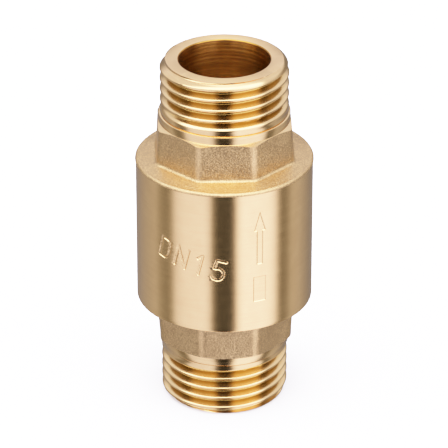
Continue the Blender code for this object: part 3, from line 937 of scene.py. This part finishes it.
def wire(shell, path, section):
    """Wire along a path of (radius, angle, z), with a section of (outward, up) and eased ends."""
    centres = np.array([(r * math.cos(a), r * math.sin(a), z) for r, a, z in path])
    outward = np.array([(math.cos(a), math.sin(a), 0.0) for _, a, _ in path])
    along = np.gradient(centres, axis=0)
    along /= np.linalg.norm(along, axis=1)[:, None]
    upward = np.cross(outward, along)
    upward *= np.sign(upward[:, 2:3])
    section = np.array(section)
    size = np.abs(section).max()
    last = len(path) - 1
    stations = [(0, 0.35, -0.5), (0, 0.75, -0.35)]  # point of the path, share of the section, reach past
    stations += [(i, 1.0, 0.0) for i in range(len(path))]
    stations += [(last, 0.75, 0.35), (last, 0.35, 0.5)]
    sections = [
        [
            tuple(centres[i] + out * outward[i] + up * upward[i] + along[i] * ahead * size)
            for out, up in section * shrink
        ]
        for i, shrink, ahead in stations
    ]
    shell.tube(sections, ONLY_LOOK)


def circle(radius, sides=14):
    return [(radius * math.cos(a), radius * math.sin(a)) for a in round_angles(sides)]


def inner_piece(shell, node, look, slot, body="housing", smooth_angle=40):
    return place(shell.piece(node + "_shape", [look], smooth_angle=smooth_angle), body, slot, node)


def make_ring(node, profile, look, slot, body="housing", ease=0.08 * MM):
    shell = Shell()
    turned_ring(shell, profile, ease=ease)
    return inner_piece(shell, node, look, slot, body)


def make_guide(node, pocket_r, rim_low, rim_high, hub):
    """The spider that guides the stem: a rim, three rounded ribs and a bored hub."""
    rim_r = pocket_r - GAP
    window_r = rim_r - RIM_WALL
    shell = Shell()
    turned_ring(shell, box_profile(window_r, rim_r, rim_low, rim_high), 160, 0.15 * MM)
    turned_ring(shell, box_profile(BUSH_R + GAP, HUB_R, *hub), 96, 0.2 * MM)
    half = RIB_WIDTH / 2
    outline = eased(box_profile(-half, half, rim_low + EDGE, rim_high - EDGE), 0.35 * MM, 5)
    stations = [  # distance from the axis, and how much wider the rib is there
        (BUSH_R + 0.7 * MM, 0.25),
        (HUB_R + 0.1 * MM, 0.22),
        (HUB_R + 0.7 * MM, 0.0),
        (window_r - 0.7 * MM, 0.0),
        (window_r - 0.1 * MM, 0.22),
        (window_r + 0.4 * MM, 0.25),
    ]
    for rib in range(3):
        angle = TAU * rib / 3 + math.pi / 2
        along = np.array((math.cos(angle), math.sin(angle), 0.0))
        across = np.array((-along[1], along[0], 0.0))
        sections = [
            [
                tuple(along * reach + across * side * (1 + flare) + np.array((0.0, 0.0, z)))
                for side, z in outline
            ]
            for reach, flare in stations
        ]
        shell.tube(sections, ONLY_LOOK)
    inner_piece(shell, node, PARTS_LOOK, "inner_brass")


def make_bush(node, hub):
    profile = box_profile(STEM_R + RUNNING, BUSH_R, hub[0] + EDGE, hub[1] - EDGE)
    make_ring(node, profile, PTFE, "ptfe", ease=0.15 * MM)


def make_snap_ring(node, groove_r, z):
    span = TAU - SNAP_OPENING
    start = -math.pi / 2 + SNAP_OPENING / 2
    radius = groove_r - GAP - SNAP_WIRE_R
    shell = Shell()
    path = [(radius, start + span * step / 120, z) for step in range(121)]
    wire(shell, path, circle(SNAP_WIRE_R - 0.01 * MM))
    inner_piece(shell, node, WIRE_STEEL, "stainless")


def make_spring():
    """The return spring. The real one shortens as the poppet lifts; this mesh has one fixed length."""
    low = FOOT_WASHER_LOW + WASHER_THICK + RUNNING + SPRING_WIRE_R
    high = TOP_WASHER_HIGH - WASHER_THICK - RUNNING - SPRING_WIRE_R
    closed = 2.2 * SPRING_WIRE_R  # rise of the closed turn at each end
    open_rise = (high - low - 2 * closed) / (SPRING_TURNS - 2)
    path = []
    steps = 64  # to a turn
    for step in range(SPRING_TURNS * steps + 1):
        turns = step / steps
        first, last = min(turns, 1.0), max(turns - SPRING_TURNS + 1, 0.0)
        z = low + closed * (first + last) + open_rise * (turns - first - last)
        path.append((SPRING_R, TAU * turns, z))
    shell = Shell()
    wire(shell, path, circle(SPRING_WIRE_R - 0.005 * MM))
    spring = inner_piece(shell, "return_spring", WIRE_STEEL, "stainless")
    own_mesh(spring)


def make_stem():
    tip = 0.6 * MM
    dimple_r, dimple_edge_r, dimple_depth = 0.35 * MM, 0.55 * MM, 0.25 * MM
    low, high = STEM_ENDS
    collar_low, collar_high = STEM_COLLAR
    profile = [
        (dimple_r, low + dimple_depth),
        (dimple_edge_r, low),
        (STEM_R - tip, low),
        (STEM_R, low + tip),
        (STEM_R, collar_low - 0.25 * MM),
        (STEM_R - 0.12 * MM, collar_low),
        (STEM_COLLAR_R - EDGE, collar_low),
        (STEM_COLLAR_R, collar_low + EDGE),
        (STEM_COLLAR_R, collar_high - EDGE),
        (STEM_COLLAR_R - EDGE, collar_high),
        (STEM_R, collar_high),
        (STEM_R, high - tip),
        (STEM_R - tip, high),
        (dimple_edge_r, high),
        (dimple_r, high - dimple_depth),
    ]
    shell = Shell()
    rings = shell.turned(eased(profile, 0.08 * MM), 64, ONLY_LOOK)
    shell.face(rings[0][0][::-1], ONLY_LOOK)
    shell.face(rings[-1][0], ONLY_LOOK)
    inner_piece(shell, "poppet_stem", ROD_STEEL, "stainless", "poppet")


def make_nut():
    """A hexagon nut whose corners are turned down at both faces."""
    low, high = NUT
    angles = round_angles(144)
    hexagon = polygon_radius(angles, NUT_APOTHEM, 0.2 * MM, 6)
    face_r = NUT_APOTHEM - EDGE
    shell = Shell()
    sides = []
    for z, up in ((low, 1), (high, -1)):
        bevel = [shell.ring(face_r, z, angles)]
        for step in range(5):
            share = step / 4
            corner = np.minimum(hexagon, face_r + (0.75 * MM) * (0.15 + 0.85 * share))
            bevel.append(shell.ring(corner, z + up * (0.06 + 0.3 * share) * MM, angles))
        sides.append(bevel)
    lower, upper = sides
    inside = [shell.ring(STEM_R + GAP, z, angles) for z in (high, low)]
    shell.skin([*lower, *reversed(upper), *inside, lower[0]], ONLY_LOOK)
    inner_piece(shell, "clamp_nut", PARTS_LOOK, "inner_brass", "poppet", 25)


def make_lock_washer(inner, outer, middle_z):
    """A split spring washer: one flat-sided turn that rises a little from end to end."""
    steps = 80
    opening, rise, half_thick = math.radians(14), 0.08, 0.3 * MM
    path = [
        (
            (inner + outer) / 2,
            opening / 2 + (TAU - opening) * step / steps,
            (middle_z / MM + rise * (step / steps - 0.5)) * MM,
        )
        for step in range(3, steps - 2)
    ]
    half_wide = (outer - inner) / 2
    section = box_profile(-half_wide, half_wide, -half_thick, half_thick)
    shell = Shell()
    wire(shell, path, eased(section, 0.08 * MM, 2))
    inner_piece(shell, "clamp_lock_washer", WIRE_STEEL, "stainless", "poppet")


def make_poppet():
    bore = STEM_R + GAP
    disc = [
        (bore, DISC_RECESS),
        (DISC_R - DISC_LIP, DISC_RECESS),
        (DISC_R - DISC_LIP, DISC_LOW),
        (DISC_R, DISC_LOW),
        (DISC_R, DISC_HIGH - 2 * EDGE),
        (DISC_R - 2 * EDGE, DISC_HIGH),
        (BOSS_R, DISC_HIGH),
        (BOSS_R, BOSS_HIGH - EDGE),
        (BOSS_R - EDGE, BOSS_HIGH),
        (bore, BOSS_HIGH),
    ]
    clamp_low, clamp_high = CLAMP
    clamp_bevel = 0.7 * MM
    clamp = [
        (bore, clamp_low),
        (CLAMP_R - clamp_bevel, clamp_low),
        (CLAMP_R, clamp_low + clamp_bevel),
        (CLAMP_R, clamp_high),
        (bore, clamp_high),
    ]
    seal = box_profile(bore, SEAL_R, *SEAL)
    make_ring("poppet_disc", disc, PARTS_LOOK, "inner_brass", "poppet")
    make_ring("seat_seal", seal, RUBBER, "nitrile_rubber", "poppet", EDGE)
    make_ring("seal_clamp_plate", clamp, PARTS_LOOK, "inner_brass", "poppet")
    make_lock_washer(bore, LOCK_WASHER_R, LOCK_WASHER_Z)
    make_nut()
    make_stem()


make_guide(
    "outlet_guide", OUTLET_POCKET_R, OUTLET_SNAP_Z + SNAP_WIRE_R + GAP, OUTLET_POCKET_HIGH - GAP, OUTLET_HUB
)
make_guide("inlet_guide", SEAT_R, INLET_POCKET_LOW + GAP, INLET_SNAP_Z - SNAP_WIRE_R - GAP, INLET_HUB)
make_bush("outlet_guide_bush", OUTLET_HUB)
make_bush("inlet_guide_bush", INLET_HUB)
make_snap_ring("outlet_snap_ring", OUTLET_POCKET_R + SNAP_GROOVE, OUTLET_SNAP_Z)
make_snap_ring("inlet_snap_ring", SEAT_R + SNAP_GROOVE, INLET_SNAP_Z)
make_spring()
for node, low, body in (
    ("spring_top_washer", TOP_WASHER_HIGH - WASHER_THICK, "housing"),
    ("spring_foot_washer", FOOT_WASHER_LOW, "spring_foot"),
):
    make_ring(node, box_profile(*WASHER, low, low + WASHER_THICK), WIRE_STEEL, "stainless", body)
o_ring_r = (O_RING_GROOVE_R + CHAMBER_R) / 2
o_ring = [(o_ring_r + out, O_RING_Z + up) for out, up in circle(O_RING_SECTION_R, 20)]
make_ring("body_o_ring", o_ring, RUBBER, "nitrile_rubber")
make_poppet()

# ---- Stage, light and camera -----------------------------------------------

CAMERA_AZIMUTH = math.radians(-1.9)
CAMERA_ELEVATION = math.radians(27.4)
CAMERA_DISTANCE = 0.556
TARGET = Vector((-0.066 * MM, 0, 30.5 * MM))
ABOVE = 1.8  # brightness of the tent's upper part
KEY = 7.0  # brightness of the soft box over the camera
KEY_ELEVATION = 66.0
KEY_AZIMUTH = -8.0
KEY_WIDTH = 3.3  # how much wider the soft box is than it is deep
KEY_HALF_ANGLES = (24.0, 36.0)
BACKDROP = 4.5  # brightness of the plain white behind the object
PEAK = 8.0  # brightness that the tent's colours are shares of


def make_floor():
    maker = bmesh.new()
    bmesh.ops.create_grid(maker, x_segments=8, y_segments=8, size=3.0)
    mesh = bpy.data.meshes.new("floor")
    maker.to_mesh(mesh)
    maker.free()
    floor = bpy.data.objects.new("floor", mesh)
    bpy.context.scene.collection.objects.link(floor)
    look = Look("floor_white")
    look.set(Base_Color=(0.95, 0.95, 0.93, 1), Roughness=1.0, Specular_IOR_Level=0.0)
    mesh.materials.append(look.material)
    floor.visible_glossy = False


def make_world():
    """A soft light tent whose panels stand round the object: brightness by azimuth and by height."""
    world = bpy.data.worlds.new("light_tent")
    bpy.context.scene.world = world
    world.use_nodes = True
    world.node_tree.nodes.clear()
    tent = Nodes(world.node_tree)
    black, white = (0.0, 0.0, 0.0), (1.0, 1.0, 1.0)
    direction = tent.turned(tent.add("ShaderNodeTexCoord").outputs["Generated"], -CAMERA_AZIMUTH)
    towards = tent.split(direction)
    azimuth = tent.math("ARCTAN2", towards["X"], tent.math("MULTIPLY", towards["Y"], -1.0))

    # Degrees to the right of the camera, and brightness.
    panels = [
        (-180, 0.35), (-150, 0.42), (-120, 0.62), (-101, 0.75), (-92, 0.42), (-80, 0.26), (-73, 0.50),
        (-65, 1.60), (-54, 1.95), (-26, 2.15), (-20, 1.60), (-15, 0.30), (-9, 0.04), (8, 0.03),
        (13, 0.30), (18, 2.10), (24, 3.05), (60, 2.95), (69, 2.10), (75, 0.55), (80, 0.22), (89, 0.35),
        (98, 0.78), (112, 0.76), (125, 0.56), (145, 0.36), (180, 0.35),
    ]  # fmt: skip
    cool, warm = (1.0, 0.95, 1.36), (1.0, 0.95, 0.90)

    def panel_colour(value):
        """Cool where the panel is bright, warm where it's dark."""
        share = min(value / 1.5, 1.0)
        return tuple(value / PEAK * (w + (c - w) * share) for c, w in zip(cool, warm))

    stops = [((angle + 180) / 360, panel_colour(value)) for angle, value in panels]
    around = tent.colours(tent.remap(azimuth, -math.pi, math.pi), *stops)
    height = tent.colours(towards["Z"], (0.0, black), (0.22, black), (0.42, white), (1.0, white))
    above = [ABOVE / PEAK * channel for channel in (1.0, 0.97, 1.30)]
    sides = tent.mix(height, around, (*above, 1))

    lift = math.radians(KEY_ELEVATION)
    aside = tent.turned(direction, -math.radians(KEY_AZIMUTH))
    narrowed = tent.vector("MULTIPLY", aside, (1.0 / KEY_WIDTH, 1.0, 1.0))["Vector"]
    unit = tent.vector("NORMALIZE", narrowed)["Vector"]
    facing = tent.vector("DOT_PRODUCT", unit, (0.0, -math.cos(lift), math.sin(lift)))["Value"]
    inner, outer = (math.cos(math.radians(half)) for half in KEY_HALF_ANGLES)
    key = tent.colours(facing, (0.0, black), (outer, black), (inner, white), (1.0, white))
    key_colour = [KEY / PEAK * channel for channel in (1.0, 0.98, 1.15)]
    lit = tent.mix(key, sides, (*key_colour, 1))

    lights = tent.add("ShaderNodeBackground", [("Color", lit), ("Strength", PEAK)])
    plain = tent.add("ShaderNodeBackground", [("Color", (1.0, 1.0, 1.0, 1.0)), ("Strength", BACKDROP)])
    camera_ray = tent.add("ShaderNodeLightPath").outputs["Is Camera Ray"]
    shaders = [(1, lights.outputs["Background"]), (2, plain.outputs["Background"])]
    seen = tent.add("ShaderNodeMixShader", [("Fac", camera_ray), *shaders])
    tent.add("ShaderNodeOutputWorld", [("Surface", seen.outputs["Shader"])])


def make_floor_light():
    """A large overhead panel that lights the floor and isn't seen in the metal."""
    data = bpy.data.lights.new("overhead", "AREA")
    data.shape = "DISK"
    data.size = 2.2
    data.energy = 66.0
    light = bpy.data.objects.new("overhead", data)
    light.location = (0, 0, 1.6)
    light.visible_glossy = False
    light.visible_camera = False
    bpy.context.scene.collection.objects.link(light)


def make_camera():
    data = bpy.data.cameras.new("camera")
    data.sensor_width = 36.0
    data.lens = 271.0
    data.clip_end = 20.0
    camera = bpy.data.objects.new("camera", data)
    bpy.context.scene.collection.objects.link(camera)
    level = math.cos(CAMERA_ELEVATION)
    back = Vector(
        (
            math.sin(CAMERA_AZIMUTH) * level,
            -math.cos(CAMERA_AZIMUTH) * level,
            math.sin(CAMERA_ELEVATION),
        )
    )
    camera.location = TARGET + CAMERA_DISTANCE * back
    camera.rotation_euler = back.to_track_quat("Z", "Y").to_euler()
    bpy.context.scene.camera = camera


def set_film():
    """A print-like response: each channel rises as 1 - exp(-light), so highlights pale softly."""
    view = bpy.context.scene.view_settings
    view.view_transform = "Standard"
    view.look = "None"
    view.use_curve_mapping = True
    mapping = view.curve_mapping
    top = 5.0
    mapping.white_level = (top, top, top)
    curve = mapping.curves[3]
    steps = [0.0, 0.01, 0.02, 0.04, 0.07, 0.11, 0.16, 0.22, 0.3, 0.4, 0.52, 0.66, 0.82, 1.0]
    limit = 1 - math.exp(-top)
    for number, place in enumerate(steps):
        value = (1 - math.exp(-top * place)) / limit
        if number == 0:
            curve.points[0].location = (0.0, 0.0)
        elif number == len(steps) - 1:
            curve.points[len(curve.points) - 1].location = (1.0, 1.0)
        else:
            curve.points.new(place, value)
    mapping.update()


make_floor()
make_world()
make_floor_light()
make_camera()
set_film()
